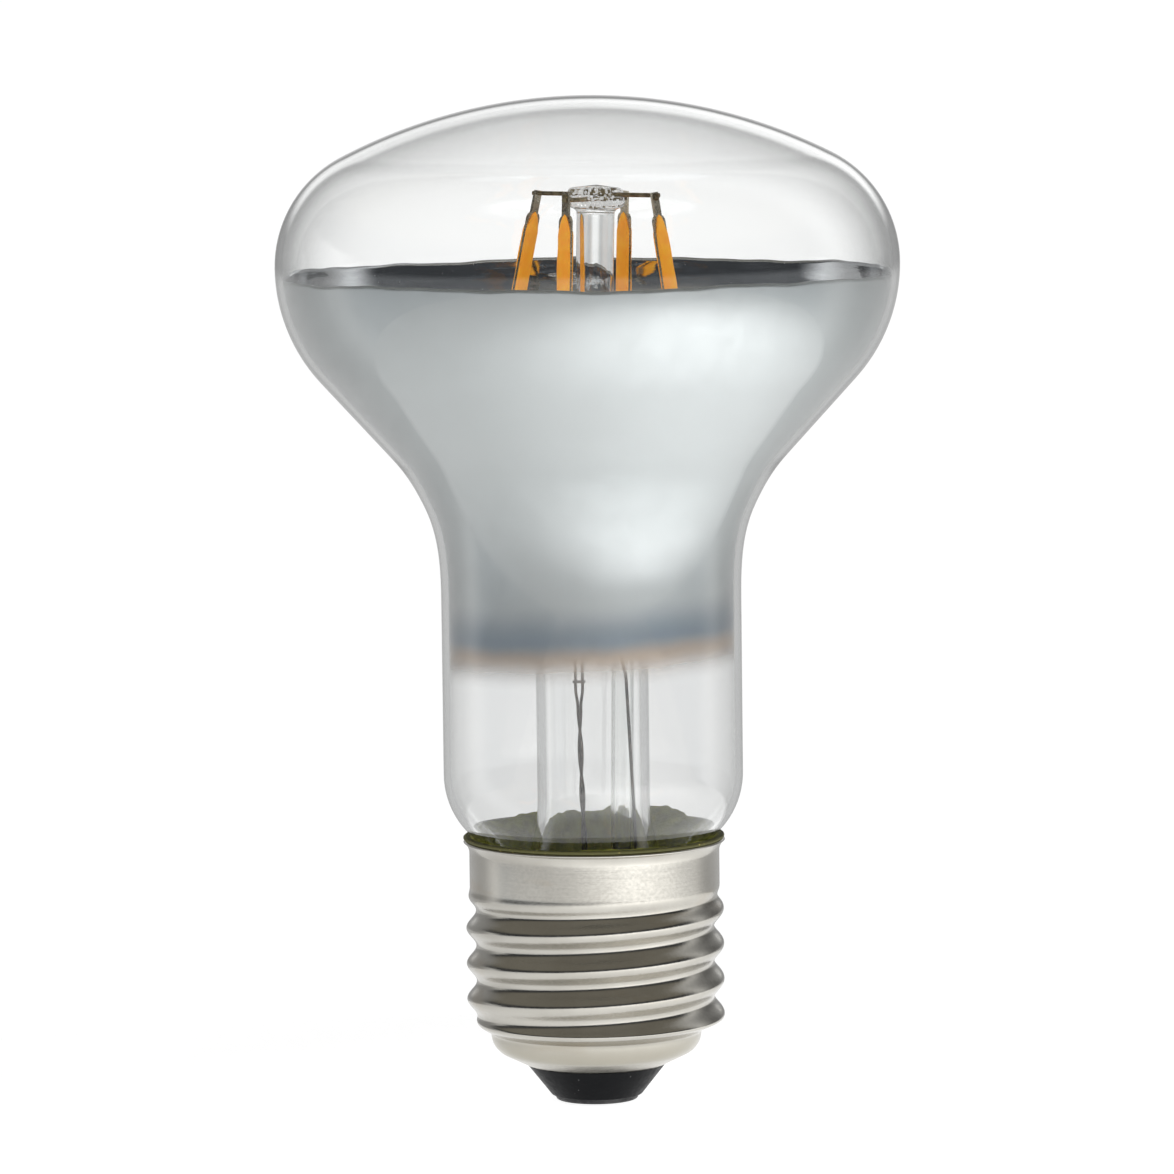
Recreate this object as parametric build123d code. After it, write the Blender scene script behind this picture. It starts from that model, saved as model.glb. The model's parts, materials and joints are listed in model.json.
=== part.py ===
from build123d import *
import math
import os

# LED filament reflector bulb: a blown glass envelope, mirrored inside below its equator, on a screw cap.
# Millimetres. The lamp axis is Z, the centre contact's flat face is at Z 0 and the dome points up.

# Glass envelope
overall_length = 102.0
bulb_radius = 31.5
dome_height = 17.0
dome_shoulder_radius = 12.4
reflector_shoulder_radius = 17.2
reflector_half_angle = 42.3
throat_radius = 14.5
neck_radius = 15.2
neck_foot_rise = 9.4
neck_foot_radius = 8.4
neck_foot_turn = 45.0
seal_height = 24.0
glass_wall = 0.7

# Mirror film on the inner wall
mirror_edge_drop = 0.7
mirror_skirt = 10.3
mirror_film = 0.1
mirror_gap = 0.05

# Stem: flared tube with a pinched top, exhaust tube and pillar
stem_radius = 5.7
stem_wall = 0.9
flare_height = 7.0
flare_rim_land = 1.2
pinch_taper = 4.0
pinch_height = 2.5
pinch_width = 11.0
pinch_thickness = 4.4
pinch_bore_width = 7.6
pinch_bore_thickness = 1.6
pinch_roof = 1.5
exhaust_radius = 1.2
exhaust_wall = 0.4
exhaust_bite = 2.1
exhaust_tip_rise = 0.8
exhaust_top_x = 3.3
exhaust_tip_x = 2.9
exhaust_y = 1.2
pillar_radius = 1.9
pillar_socket = 1.5
button_radius = 2.9
button_height = 2.8
button_drop = 9.8
mount_height = 38.2
button_rounding = 1.2
mount_lean = 1.4

# Wires that carry the filaments
support_wire_radius = 0.25
support_wire_gap = 0.04
support_wire_overhang = 0.5
lead_radius = 0.3
lead_offset = 2.4
lead_socket = 1.2
cross_wire_bend = 1.0
cross_wire_bite = 0.1

# LED filaments: a strip with end tabs, chips on its outer face and a phosphor lobe on each face
filament_count = 4
filament_length = 34.0
filament_top_radius = 6.6
filament_bottom_radius = 12.0
filament_azimuth = -26.6
filament_twist = 11.8
strip_turn = -24.0
strip_width = 1.66
strip_thickness = 0.3
tab_width = 0.9
tab_length = 1.8
tab_end = 0.6
phosphor_thickness = 1.24
chip_count = 24
chip_length = 0.6
chip_width = 0.3
chip_height = 0.12
chip_margin = 1.6
cut_margin = 1.0

# Leads inside the stem tube
strand_radius = 0.15
strand_spread = 0.7
strand_gap = 0.02
strand_top_x = -1.35
strand_low_x = -0.85
strand_weld_drop = 5.5
strand_join_run = 1.9
strand_bend = 1.5
weld_bar_overhang = 0.15
weld_bar_rise = 0.75
right_lead_radius = 0.15
right_lead_top_x = 3.3
right_lead_low_x = 4.2
right_lead_y = -1.6
right_lead_bend = 1.5
right_lead_swing = 4.0
right_lead_return = 3.0

# Screw cap: rolled sheet with an E27 thread
sheet = 0.3
thread_pitch = 3.629
thread_major_radius = 13.1
thread_depth = 1.0
thread_bottom = 8.4
thread_run_out = 2.2
thread_crest_drop = 0.3
thread_sections_per_turn = 12
collar_radius = 12.7
collar_drop = 2.0
rim_rise = 1.4
rim_flare_radius = 1.4
rim_flare_turn = 54.0
cap_band_radius = 10.7
cap_band_height = 6.8
cap_shoulder_radius = 2.2
cap_bevel_turn = 64.0
cap_opening_radius = 7.1

# Basing cement
cement_drop = 0.6
cement_bead = 0.35

# Insulator and centre contact
insulator_top = 6.2
insulator_seat_radius = 4.6
insulator_dish_radius = 6.0
insulator_dish_floor = 4.4
insulator_floor_radius = 2.4
contact_radius = 4.2
contact_thickness = 0.5
contact_rounding = 0.25
shank_radius = 1.25
shank_top = 4.0
contact_wire_radius = 0.2
contact_wire_hole = 1.6
contact_wire_clearance = 0.05

# Driver inside the cap
board_width = 15.0
board_thickness = 1.0
board_bottom = 7.6
board_drop = 3.6
board_front = 0.3
lead_overlap = 3.4
capacitor_radius = 3.15
capacitor_length = 8.0
capacitor_x = -3.9
capacitor_rounding = 0.6
fuse_radius = 1.2
fuse_length = 7.0
fuse_x = 3.4
fuse_rounding = 0.5
part_lift = 0.9
rectifier_size = (4.7, 1.6, 3.9)
rectifier_x = -3.0
rectifier_drop = 3.8
driver_chip_size = (4.9, 1.5, 3.9)
driver_chip_x = 2.6
driver_chip_drop = 8.8
package_bevel = 0.25
chip_resistor_size = (2.0, 0.5, 1.25)
chip_resistor_x = 2.8
chip_resistor_pitch = 1.9
chip_resistor_count = 3
chip_resistor_drop = 5.2
contact_wire_overlap = 2.6
shell_wire_radius = 0.22
shell_wire_pad_x = -6.9
shell_wire_overlap = 2.2
shell_wire_bend = 1.0
shell_wire_dip = 0.9
shell_wire_rise = 0.7
shell_wire_gap = 0.1

# Values worked out from the sizes above
equator_height = overall_length - dome_height
crown_radius = (
    ((bulb_radius - dome_shoulder_radius) ** 2 + dome_height**2 - dome_shoulder_radius**2)
    / (2 * (dome_height - dome_shoulder_radius))
)
crown_centre = overall_length - crown_radius
cone = math.radians(reflector_half_angle)
foot = math.radians(neck_foot_turn)
cone_top_radius = bulb_radius - reflector_shoulder_radius * (1 - math.cos(cone))
cone_top_height = equator_height - reflector_shoulder_radius * math.sin(cone)
cone_foot_radius = neck_radius + throat_radius * (1 - math.cos(cone))
cone_foot_height = cone_top_height - (cone_top_radius - cone_foot_radius) / math.tan(cone)
throat_height = cone_foot_height - throat_radius * math.sin(cone)
neck_foot_height = seal_height + neck_foot_rise
foot_end_radius = neck_radius - neck_foot_radius * (1 - math.cos(foot))
foot_end_height = neck_foot_height - neck_foot_radius * math.sin(foot)
seal_radius = foot_end_radius - (foot_end_height - seal_height) * math.tan(foot)
flare_radius = seal_radius - flare_rim_land
mirror_top = equator_height - mirror_edge_drop
mirror_bottom = throat_height - mirror_skirt
button_centre = overall_length - button_drop
pinch_top = button_centre - mount_height
pinch_end = pinch_top - pinch_height
pinch_start = pinch_end - pinch_taper
exhaust_top = pinch_start + exhaust_bite
exhaust_tip = seal_height + exhaust_tip_rise
strand_weld_height = pinch_start - strand_weld_drop
strand_join_height = strand_weld_height - strand_join_run
collar_bottom = seal_height - collar_drop
rim_start = seal_height + rim_rise
cement_bottom = seal_height - cement_drop
board_top = seal_height - board_drop
thread_top = collar_bottom - thread_run_out
thread_crest_height = thread_top - thread_crest_drop
thread_offset = thread_depth / 2
thread_radius = thread_major_radius - thread_offset
bevel = math.radians(cap_bevel_turn)
collar_bore = collar_radius - sheet
board_back = board_front + board_thickness


def ring(edges):
    """Solid of revolution about the lamp axis from a closed outline in radius and height."""
    return revolve(Plane.XZ * make_face(edges), Axis.Z)


def polyline(points):
    return [Line(a, b) for a, b in zip(points, points[1:])]


def closed(points):
    return polyline(list(points) + [points[0]])


def rod(start, end, radius):
    """Straight round rod between two points."""
    along = Vector(*end) - Vector(*start)
    return extrude(Plane(start, z_dir=along) * Circle(radius), along.length)


def bent_rod(points, radius, bend):
    """Round rod along straight runs joined by tangent arcs."""
    path = FilletPolyline(*points, radius=bend)
    return sweep(Plane(path @ 0, z_dir=path % 0) * Circle(radius), path)


def polar(radius, degrees, height):
    angle = math.radians(degrees)
    return Vector(radius * math.cos(angle), radius * math.sin(angle), height)


def reflector_edges(inset, low, high):
    """Envelope wall, inset from the outer face, from a height in the neck to one on the lower shoulder."""
    shoulder = reflector_shoulder_radius - inset
    throat = throat_radius + inset
    shift = Vector(inset * math.cos(cone), -inset * math.sin(cone)) * -1
    cone_top = Vector(cone_top_radius, cone_top_height) + shift
    cone_foot = Vector(cone_foot_radius, cone_foot_height) + shift
    rise = math.degrees(math.asin((equator_height - high) / shoulder))
    return [
        Line((neck_radius - inset, low), (neck_radius - inset, throat_height)),
        CenterArc((neck_radius + throat_radius, throat_height), throat, 180, -reflector_half_angle),
        Line(cone_foot, cone_top),
        CenterArc(
            (bulb_radius - reflector_shoulder_radius, equator_height),
            shoulder,
            -reflector_half_angle,
            reflector_half_angle - rise,
        ),
    ]


def dome_edges(inset):
    """Shoulder and crown of the dome, from the equator to the axis."""
    lean = math.degrees(math.atan2(crown_radius - dome_height, bulb_radius - dome_shoulder_radius))
    return [
        CenterArc(
            (bulb_radius - dome_shoulder_radius, equator_height), dome_shoulder_radius - inset, 0, lean
        ),
        CenterArc((0, crown_centre), crown_radius - inset, lean, 90 - lean),
    ]


def foot_edges(inset):
    """Neck foot, from the seal's cut end up to the straight neck."""
    end_radius = foot_end_radius - inset * math.cos(foot)
    end_height = foot_end_height + inset * math.sin(foot)
    cut_radius = end_radius - (end_height - seal_height) * math.tan(foot)
    centre = (neck_radius - neck_foot_radius, neck_foot_height)
    return [
        Line((cut_radius, seal_height), (end_radius, end_height)),
        CenterArc(centre, neck_foot_radius - inset, -neck_foot_turn, neck_foot_turn),
    ]


def envelope_edges(inset):
    wall = reflector_edges(inset, neck_foot_height, equator_height)
    return foot_edges(inset) + wall + dome_edges(inset)


def glass_envelope():
    outer = envelope_edges(0)
    inner = envelope_edges(glass_wall)
    apex = Line(outer[-1] @ 1, inner[-1] @ 1)
    cut_end = Line(outer[0] @ 0, inner[0] @ 0)
    return ring(outer + inner + [apex, cut_end])


def envelope_filled():
    """Everything inside the glass's outer face, for cutting what is cast against it."""
    outer = envelope_edges(0)
    axis = Line(outer[-1] @ 1, (0, seal_height))
    base = Line((0, seal_height), outer[0] @ 0)
    return ring(outer + [axis, base])


def mirror_coating():
    outer = reflector_edges(glass_wall + mirror_gap, mirror_bottom, mirror_top)
    inner = reflector_edges(glass_wall + mirror_gap + mirror_film, mirror_bottom, mirror_top)
    ends = [Line(outer[0] @ 0, inner[0] @ 0), Line(outer[-1] @ 1, inner[-1] @ 1)]
    return ring(outer + inner + ends)


def flare_edges(offset):
    """Trumpet of the stem, from its rim to the straight tube, offset inwards from the outer face."""
    centre = (flare_radius, seal_height + flare_height)
    reach = flare_radius - stem_radius + offset
    return [
        Line((seal_radius, seal_height - offset), (flare_radius, seal_height - offset)),
        EllipticalCenterArc(centre, reach, flare_height + offset, 270, arc_size=-90),
        Line((stem_radius - offset, centre[1]), (stem_radius - offset, pinch_start)),
    ]


def pinch_outline(height):
    return Pos(0, 0, height) * SlotOverall(pinch_width, pinch_thickness)


def exhaust_ends():
    top = Vector(exhaust_top_x, exhaust_y, exhaust_top)
    tip = Vector(exhaust_tip_x, exhaust_y, exhaust_tip)
    return top, tip


def exhaust_tube():
    """Thin tube under the pinch, drawn to a round sealed tip at its lower end."""
    top, tip = exhaust_ends()
    along = (top - tip).normalized()
    tip_centre = tip + along * exhaust_radius
    bore_radius = exhaust_radius - exhaust_wall
    body = rod(tip_centre, top, exhaust_radius) + Pos(tip_centre) * Sphere(exhaust_radius)
    bore = rod(tip_centre, top, bore_radius) + Pos(tip_centre) * Sphere(bore_radius)
    return body - bore


def stem_flare(held):
    """Flared tube, pinched flat and solid at its top round the wires, the pillar and the exhaust tube."""
    outer = flare_edges(0)
    inner = flare_edges(stem_wall)
    rim = Line(outer[0] @ 0, inner[0] @ 0)
    top = Line(outer[-1] @ 1, inner[-1] @ 1)
    tube = ring(outer + inner + [rim, top])
    neck = loft([
        Pos(0, 0, pinch_start) * Circle(stem_radius),
        pinch_outline(pinch_end),
    ])
    slab = extrude(pinch_outline(pinch_end), pinch_top - pinch_end)
    hollow = loft([
        Pos(0, 0, pinch_start) * Circle(stem_radius - stem_wall),
        Pos(0, 0, pinch_end - pinch_roof) * Ellipse(pinch_bore_width / 2, pinch_bore_thickness / 2),
    ])
    top_end, tip = exhaust_ends()
    body = tube + (neck - hollow) + slab
    body -= rod(tip, top_end, exhaust_radius)
    for piece in held:
        body -= piece
    return body


def mounted(piece):
    """Place a piece drawn upright above the pinch on the slightly leaning mount."""
    return Pos(0, 0, pinch_top) * Rot(0, mount_lean, 0) * Pos(0, 0, -pinch_top) * piece


def stem_pillar(wires):
    """Glass rod standing in the pinch, melted to a button round the two support wires."""
    rod_height = button_centre - pinch_top + pillar_socket
    body = Pos(0, 0, pinch_top - pillar_socket) * Cylinder(
        pillar_radius, rod_height, align=(Align.CENTER, Align.CENTER, Align.MIN)
    )
    button = Pos(0, 0, button_centre) * Cylinder(button_radius, button_height)
    button = fillet(button.edges().filter_by(GeomType.CIRCLE), button_rounding)
    body = mounted(body + button)
    for wire in wires:
        body -= wire
    return body


def filament_top(index):
    azimuth = filament_azimuth + 360 / filament_count * index
    return polar(filament_top_radius, azimuth, button_centre)


def filament_bottom(index):
    azimuth = filament_azimuth + filament_twist + 360 / filament_count * index
    spread = (
        filament_top_radius**2
        + filament_bottom_radius**2
        - 2 * filament_top_radius * filament_bottom_radius * math.cos(math.radians(filament_twist))
    )
    drop = math.sqrt(filament_length**2 - spread)
    return polar(filament_bottom_radius, azimuth, button_centre - drop)


def filament_frame(index):
    """Plane at a filament's upper weld: Z runs up the strip, X across its broad face."""
    top = filament_top(index)
    facing = filament_azimuth + filament_twist / 2 + strip_turn
    azimuth = math.radians(facing + 360 / filament_count * index)
    across = (-math.sin(azimuth), math.cos(azimuth), 0)
    return Plane(top, x_dir=across, z_dir=top - filament_bottom(index))


def support_wire(index):
    """Straight wire through the button from one filament's tab to the opposite one's."""
    step = support_wire_radius + support_wire_gap / 2
    height = step if index == 0 else -step
    reach = filament_top_radius + support_wire_overhang
    azimuth = filament_azimuth + 360 / filament_count * index
    start = polar(reach, azimuth, button_centre + height)
    end = polar(reach, azimuth + 180, button_centre + height)
    return mounted(rod(start, end, support_wire_radius))


def cross_wire(side):
    """V wire from the head of a lead to the lower tabs of two filaments."""
    pair = (2, 3) if side < 0 else (0, 1)
    ends = [filament_bottom(index) for index in pair]
    apex = Vector(side * lead_offset, 0, ends[0].Z)
    tips = [end + (end - apex).normalized() * support_wire_overhang for end in ends]
    return mounted(bent_rod([tips[0], apex, tips[1]], support_wire_radius, cross_wire_bend))


def inner_lead(side, wire):
    """Lead from the middle of the pinch to the apex of its cross wire."""
    top = filament_bottom(0).Z - cross_wire_bite
    lead = rod((side * lead_offset, 0, pinch_top - lead_socket), (side * lead_offset, 0, top), lead_radius)
    return mounted(lead) - wire


def filament_outline(width, length):
    """Long outline with round ends, standing on the filament's XZ plane."""
    return Plane.XZ * (Pos(0, -filament_length / 2) * SlotOverall(length, width, rotation=90))


def filament_strip(index, wires):
    body_length = filament_length - 2 * tab_length
    body = extrude(filament_outline(strip_width, body_length), strip_thickness / 2, both=True)
    tabs = Pos(0, 0, -filament_length / 2) * Box(tab_width, strip_thickness, filament_length + 2 * tab_end)
    strip = mounted(filament_frame(index) * (body + tabs))
    for wire in wires:
        strip -= wire
    return strip


def chip_row():
    """Chips in one line along the strip's outer face, drawn in the filament's own frame."""
    first = -tab_length - chip_margin
    last = -filament_length + tab_length + chip_margin
    pitch = (last - first) / (chip_count - 1)
    lift = -(strip_thickness + chip_height) / 2
    chip = Box(chip_width, chip_height, chip_length)
    return [Pos(0, lift, first + pitch * step) * chip for step in range(chip_count)]


def filament_chips(index):
    return Compound([mounted(filament_frame(index) * chip) for chip in chip_row()])


def filament_phosphor(index):
    """Two gel lobes, one on each face of the strip, with the strip's edge bare between them."""
    body_length = filament_length - 2 * tab_length
    outline = extrude(filament_outline(strip_width, body_length), phosphor_thickness, both=True)
    section = Pos(0, 0, -filament_length) * Ellipse(strip_width / 2, phosphor_thickness / 2)
    lobes = extrude(section, filament_length) & outline
    slot_size = (strip_width + cut_margin, strip_thickness, filament_length + cut_margin)
    lobes -= Pos(0, 0, -filament_length / 2) * Box(*slot_size)
    for chip in chip_row():
        lobes -= chip
    return Compound([mounted(filament_frame(index) * lobe) for lobe in lobes.solids()])


def outer_lead_left():
    """Two strands from the pinch, welded across by a bar and then laid together down to the board."""
    strands = []
    for side in (-1, 1):
        spread_x = strand_top_x + side * strand_spread / 2
        close_x = strand_low_x + side * (strand_radius + strand_gap / 2)
        points = [
            (spread_x, 0, pinch_end),
            (spread_x, 0, strand_weld_height),
            (close_x, 0, strand_join_height),
            (close_x, 0, board_top - lead_overlap),
        ]
        strands.append(bent_rod(points, strand_radius, strand_bend))
    reach = strand_spread / 2 + strand_radius + weld_bar_overhang
    bar_height = strand_weld_height + weld_bar_rise
    bar = rod(
        (strand_top_x - reach, 0, bar_height), (strand_top_x + reach, 0, bar_height), strand_radius
    )
    return strands[0] + bar + strands[1]


def outer_lead_right():
    """Single lead from the pinch, passing in front of the exhaust tube down to the board."""
    low_y = board_front - right_lead_radius - contact_wire_clearance
    points = [
        (lead_offset, 0, pinch_end),
        (lead_offset, 0, pinch_start),
        (right_lead_top_x, right_lead_y, pinch_start - right_lead_swing),
        (right_lead_low_x, right_lead_y, board_top + right_lead_return),
        (right_lead_low_x, low_y, board_top),
        (right_lead_low_x, low_y, board_top - lead_overlap),
    ]
    return bent_rod(points, right_lead_radius, right_lead_bend)


def collar_edges(inset):
    """Straight collar and flared rim of the shell, inset from its outer face."""
    centre = (collar_radius + rim_flare_radius, rim_start)
    return [
        Line((collar_radius - inset, collar_bottom), (collar_radius - inset, rim_start)),
        CenterArc(centre, rim_flare_radius + inset, 180, -rim_flare_turn),
    ]


def cap_bottom_edges(inset):
    """Lower band, rounded shoulder and bevel of the shell down to its opening."""
    centre = Vector(cap_band_radius - cap_shoulder_radius, cap_band_height)
    radius = cap_shoulder_radius - inset
    normal = Vector(math.cos(bevel), -math.sin(bevel))
    along = Vector(-math.sin(bevel), -math.cos(bevel))
    run = (centre.X + cap_shoulder_radius * normal.X - cap_opening_radius) / math.sin(bevel)
    bevel_start = centre + normal * radius
    return [
        CenterArc(centre, radius, 0, -cap_bevel_turn),
        Line(bevel_start, bevel_start + along * run),
    ]


def share(value, start, end):
    """How far a value lies from start to end, held between 0 and 1."""
    return min(max((value - start) / (end - start), 0), 1)


def thread_section(height, inset):
    """Round section at a height of the helix, off centre by half the thread's depth or less in a run-out."""
    low = share(height, cap_band_height, thread_bottom)
    high = share(height, collar_bottom, thread_top)
    turn = 360 * (height - thread_crest_height) / thread_pitch
    radius = thread_radius - inset
    radius += (cap_band_radius - thread_radius) * (1 - low)
    radius += (collar_radius - thread_radius) * (1 - high)
    return Pos(polar(thread_offset * low * high, turn, height)) * Circle(radius)


def thread_core(inset):
    """Thread as a stack of off-centre sections that go once round the axis in each pitch."""
    height = collar_bottom - cap_band_height
    count = math.ceil(height / thread_pitch * thread_sections_per_turn)
    heights = [cap_band_height + height / count * step for step in range(count + 1)]
    return loft([thread_section(level, inset) for level in heights], ruled=True)


def screw_shell():
    outer = collar_edges(0)
    inner = collar_edges(sheet)
    collar = ring(outer + inner + [Line(outer[0] @ 0, inner[0] @ 0), Line(outer[1] @ 1, inner[1] @ 1)])
    outer = cap_bottom_edges(0)
    inner = cap_bottom_edges(sheet)
    bottom = ring(outer + inner + [Line(outer[0] @ 0, inner[0] @ 0), Line(outer[1] @ 1, inner[1] @ 1)])
    return collar + (thread_core(0) - thread_core(sheet)) + bottom


def cement_ring(wire):
    """Cement between the neck's foot and the collar, with the bead squeezed out over the rim."""
    wall = collar_edges(sheet)
    rim_edge = wall[1] @ 1
    bore = Line((collar_bore, cement_bottom), (collar_bore, rim_start))
    bead_top = rim_edge + Vector(0, 2 * cement_bead)
    bead = ThreePointArc(rim_edge, rim_edge + Vector(cement_bead, cement_bead), bead_top)
    inside = polyline([
        bead_top,
        (seal_radius, bead_top.Y),
        (seal_radius, cement_bottom),
        (collar_bore, cement_bottom),
    ])
    body = ring([bore, wall[1], bead] + inside)
    return body - envelope_filled() - wire


def insulator():
    """Button fused into the shell's opening, with a dish inside and a bore for the contact's shank."""
    outer = cap_bottom_edges(0)[1]
    inner = cap_bottom_edges(sheet)[1]
    flange = inner @ 0
    return ring(closed([
        (shank_radius, contact_thickness),
        (insulator_seat_radius, contact_thickness),
        outer @ 1,
        inner @ 1,
        flange,
        (flange.X, insulator_top),
        (insulator_dish_radius, insulator_top),
        (insulator_floor_radius, insulator_dish_floor),
        (shank_radius, insulator_dish_floor),
    ]))


def centre_contact():
    """Flat contact plate with a shank pressed into the insulator and a blind hole for its wire."""
    upright = (Align.CENTER, Align.CENTER, Align.MIN)
    plate = Cylinder(contact_radius, contact_thickness, align=upright)
    plate = fillet(plate.edges().filter_by(GeomType.CIRCLE).sort_by(Axis.Z)[0], contact_rounding)
    shank = Cylinder(shank_radius, shank_top, align=upright)
    hole = Pos(0, 0, contact_wire_hole) * Cylinder(
        contact_wire_radius + contact_wire_clearance, shank_top, align=upright
    )
    return plate + shank - hole


def driver_board():
    height = board_top - board_bottom
    centre = (0, (board_front + board_back) / 2, board_bottom + height / 2)
    return Pos(*centre) * Box(board_width, board_thickness, height)


def standing_cylinder(x, radius, length, rounding):
    """Round component lying against the board's front face, upright."""
    place = (x, board_front - radius, board_bottom + part_lift + length / 2)
    body = Cylinder(radius, length)
    return Pos(*place) * fillet(body.edges().filter_by(GeomType.CIRCLE), rounding)


def smoothing_capacitor():
    return standing_cylinder(capacitor_x, capacitor_radius, capacitor_length, capacitor_rounding)


def fuse_resistor():
    return standing_cylinder(fuse_x, fuse_radius, fuse_length, fuse_rounding)


def package(size, x, z):
    """Moulded package on the board's back face, with its outer edges bevelled."""
    body = Box(*size)
    body = chamfer(body.faces().sort_by(Axis.Y)[-1].edges(), package_bevel)
    return Pos(x, board_back + size[1] / 2, z) * body


def bridge_rectifier():
    return package(rectifier_size, rectifier_x, board_top - rectifier_drop)


def driver_chip():
    return package(driver_chip_size, driver_chip_x, board_top - driver_chip_drop)


def chip_resistors():
    """Column of small resistors beside the rectifier, on the board's back face."""
    lowest = board_top - chip_resistor_drop
    heights = [lowest + chip_resistor_pitch * step for step in range(chip_resistor_count)]
    place_y = board_back + chip_resistor_size[1] / 2
    return Compound([Pos(chip_resistor_x, place_y, z) * Box(*chip_resistor_size) for z in heights])


def contact_wire():
    top = board_bottom + contact_wire_overlap
    return rod((0, 0, contact_wire_hole), (0, 0, top), contact_wire_radius)


def shell_wire():
    """Wire from the board, under the seal and up between the glass and the collar."""
    low_y = board_front - shell_wire_radius - contact_wire_clearance
    high_x = -(collar_bore - shell_wire_radius - shell_wire_gap)
    turn_height = cement_bottom - shell_wire_dip
    return bent_rod([
        (shell_wire_pad_x, low_y, board_top - shell_wire_overlap),
        (shell_wire_pad_x, low_y, board_top),
        (high_x, low_y, turn_height),
        (high_x, low_y, seal_height + shell_wire_rise),
    ], shell_wire_radius, shell_wire_bend)


def build_parts():
    """Every piece by its node name."""
    parts = {}
    wires = [support_wire(index) for index in range(2)]
    crosses = {"left": cross_wire(-1), "right": cross_wire(1)}
    leads = {
        "inner_lead_left": inner_lead(-1, crosses["left"]),
        "inner_lead_right": inner_lead(1, crosses["right"]),
        "outer_lead_left": outer_lead_left(),
        "outer_lead_right": outer_lead_right(),
    }
    pillar = stem_pillar(wires)
    side_wire = shell_wire()
    parts["glass_envelope"] = glass_envelope()
    parts["mirror_coating"] = mirror_coating()
    parts["stem_flare"] = stem_flare([pillar, *leads.values()])
    parts["exhaust_tube"] = exhaust_tube()
    parts["stem_pillar"] = pillar
    parts.update(leads)
    for side, wire in crosses.items():
        parts[f"cross_wire_{side}"] = wire
    for index, wire in enumerate(wires):
        parts[f"support_wire_{index + 1}"] = wire
    for index in range(filament_count):
        number = index + 1
        parts[f"filament_strip_{number}"] = filament_strip(index, [*wires, *crosses.values()])
        parts[f"filament_chips_{number}"] = filament_chips(index)
        parts[f"filament_phosphor_{number}"] = filament_phosphor(index)
    parts["cement_ring"] = cement_ring(side_wire)
    parts["screw_shell"] = screw_shell()
    parts["insulator"] = insulator()
    parts["centre_contact"] = centre_contact()
    parts["driver_board"] = driver_board()
    parts["smoothing_capacitor"] = smoothing_capacitor()
    parts["bridge_rectifier"] = bridge_rectifier()
    parts["driver_chip"] = driver_chip()
    parts["fuse_resistor"] = fuse_resistor()
    parts["chip_resistors"] = chip_resistors()
    parts["contact_wire"] = contact_wire()
    parts["shell_wire"] = side_wire
    return parts


os.makedirs("parts", exist_ok=True)
for node, piece in build_parts().items():
    export_step(piece, f"parts/{node}.step")
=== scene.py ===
import json
import math

import bmesh
import bpy
import numpy as np
from mathutils import Matrix, Vector


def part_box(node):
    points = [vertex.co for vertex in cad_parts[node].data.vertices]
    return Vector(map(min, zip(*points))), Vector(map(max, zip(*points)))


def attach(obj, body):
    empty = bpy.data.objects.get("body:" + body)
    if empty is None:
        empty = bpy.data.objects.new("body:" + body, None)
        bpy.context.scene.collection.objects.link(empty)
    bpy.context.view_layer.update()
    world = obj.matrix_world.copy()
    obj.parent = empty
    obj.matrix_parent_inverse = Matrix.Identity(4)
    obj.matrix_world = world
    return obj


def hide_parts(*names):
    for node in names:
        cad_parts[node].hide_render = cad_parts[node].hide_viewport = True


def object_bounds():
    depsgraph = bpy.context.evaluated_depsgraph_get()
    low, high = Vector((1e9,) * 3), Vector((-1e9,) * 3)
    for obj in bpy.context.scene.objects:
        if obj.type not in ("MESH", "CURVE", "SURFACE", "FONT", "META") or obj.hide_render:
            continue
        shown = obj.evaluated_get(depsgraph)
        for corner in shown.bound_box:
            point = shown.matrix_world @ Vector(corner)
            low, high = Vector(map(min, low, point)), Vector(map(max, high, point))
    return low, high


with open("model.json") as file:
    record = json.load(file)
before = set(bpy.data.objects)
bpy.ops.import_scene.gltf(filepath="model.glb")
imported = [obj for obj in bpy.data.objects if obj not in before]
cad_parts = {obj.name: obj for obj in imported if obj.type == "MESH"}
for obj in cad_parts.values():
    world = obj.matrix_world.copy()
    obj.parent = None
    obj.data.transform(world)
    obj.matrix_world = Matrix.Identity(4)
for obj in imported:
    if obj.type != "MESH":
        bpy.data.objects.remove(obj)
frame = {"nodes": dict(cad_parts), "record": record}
cad_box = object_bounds()

# LED filament reflector bulb, in metres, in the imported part's frame.
# The lamp's axis is Z and the camera stands at -Y.
mm = 0.001
merge_distance = 1e-8

# Envelope
dome_height = 17.0 * mm
dome_shoulder_radius = 12.4 * mm
reflector_shoulder_radius = 17.2 * mm
reflector_half_angle = math.radians(42.3)
throat_radius = 14.5 * mm
neck_radius = 15.2 * mm
neck_foot_height = 33.4 * mm
neck_foot_radius = 8.4 * mm
neck_foot_turn = math.radians(45)
glass_wall = 0.7 * mm
blown_share = 0.0012
throat_ease = 4.0 * mm
throat_ease_span = (14.0 * mm, 6.0 * mm)
throat_ease_samples = 9
envelope_steps = 224
envelope_rows = 104
dome_rows = 64

# Mirror film
film_gap = 0.05 * mm
film_thickness = 0.1 * mm
film_edge_wave = 0.26 * mm
film_rows = 110
film_steps = 288
film_veil = 1.2 * mm
film_foot_wave = 0.8 * mm
film_foot_patch = 5.0 * mm
film_foot_tilt = 0.042
film_fade_rise = 0.7 * mm
film_fade = 4.4 * mm
# The film's colour turns from the peach veil to a painted dark reflection band over the first span, and from
# that band to silver over the second.
film_dark_span = (2.5 * mm, 4.7 * mm)
film_silver_span = (4.7 * mm, 8.6 * mm)

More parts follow.
